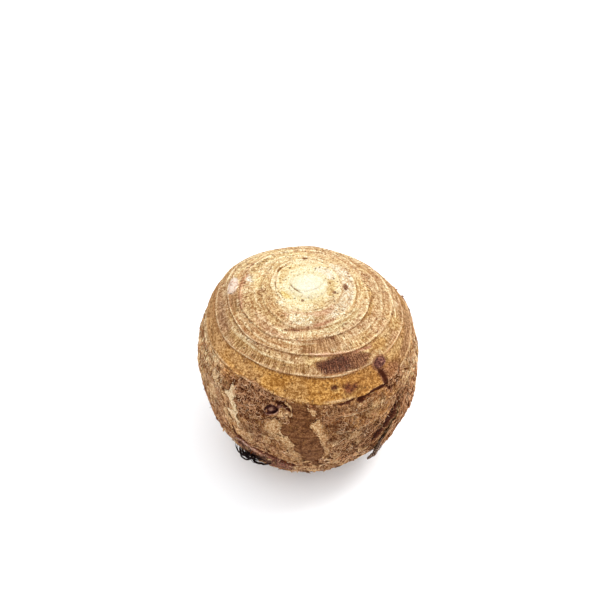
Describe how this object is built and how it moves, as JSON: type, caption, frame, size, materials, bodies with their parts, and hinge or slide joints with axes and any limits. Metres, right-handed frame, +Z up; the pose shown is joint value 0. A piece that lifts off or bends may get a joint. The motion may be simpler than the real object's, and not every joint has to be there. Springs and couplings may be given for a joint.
{
  "type": "taro corm",
  "caption": "Round trimmed taro corm with a cut crown, leaf-scar rings, husk flaps, side buds and root stubs.",
  "frame": {"origin": "centre of the corm's box, on the surface it rests on", "axes": "+Z up from the resting flat to the cut crown; -Y is the front, the side with the bud and the bare patch; +X to the right seen from the front"},
  "size_m": [0.1121, 0.1132, 0.1075],
  "materials": {
    "husk": "dry fibrous brown husk, paler and waxy toward the cut crown"
  },
  "bodies": {
    "root": {"corm": "husk"}
  },
  "joints": []
}
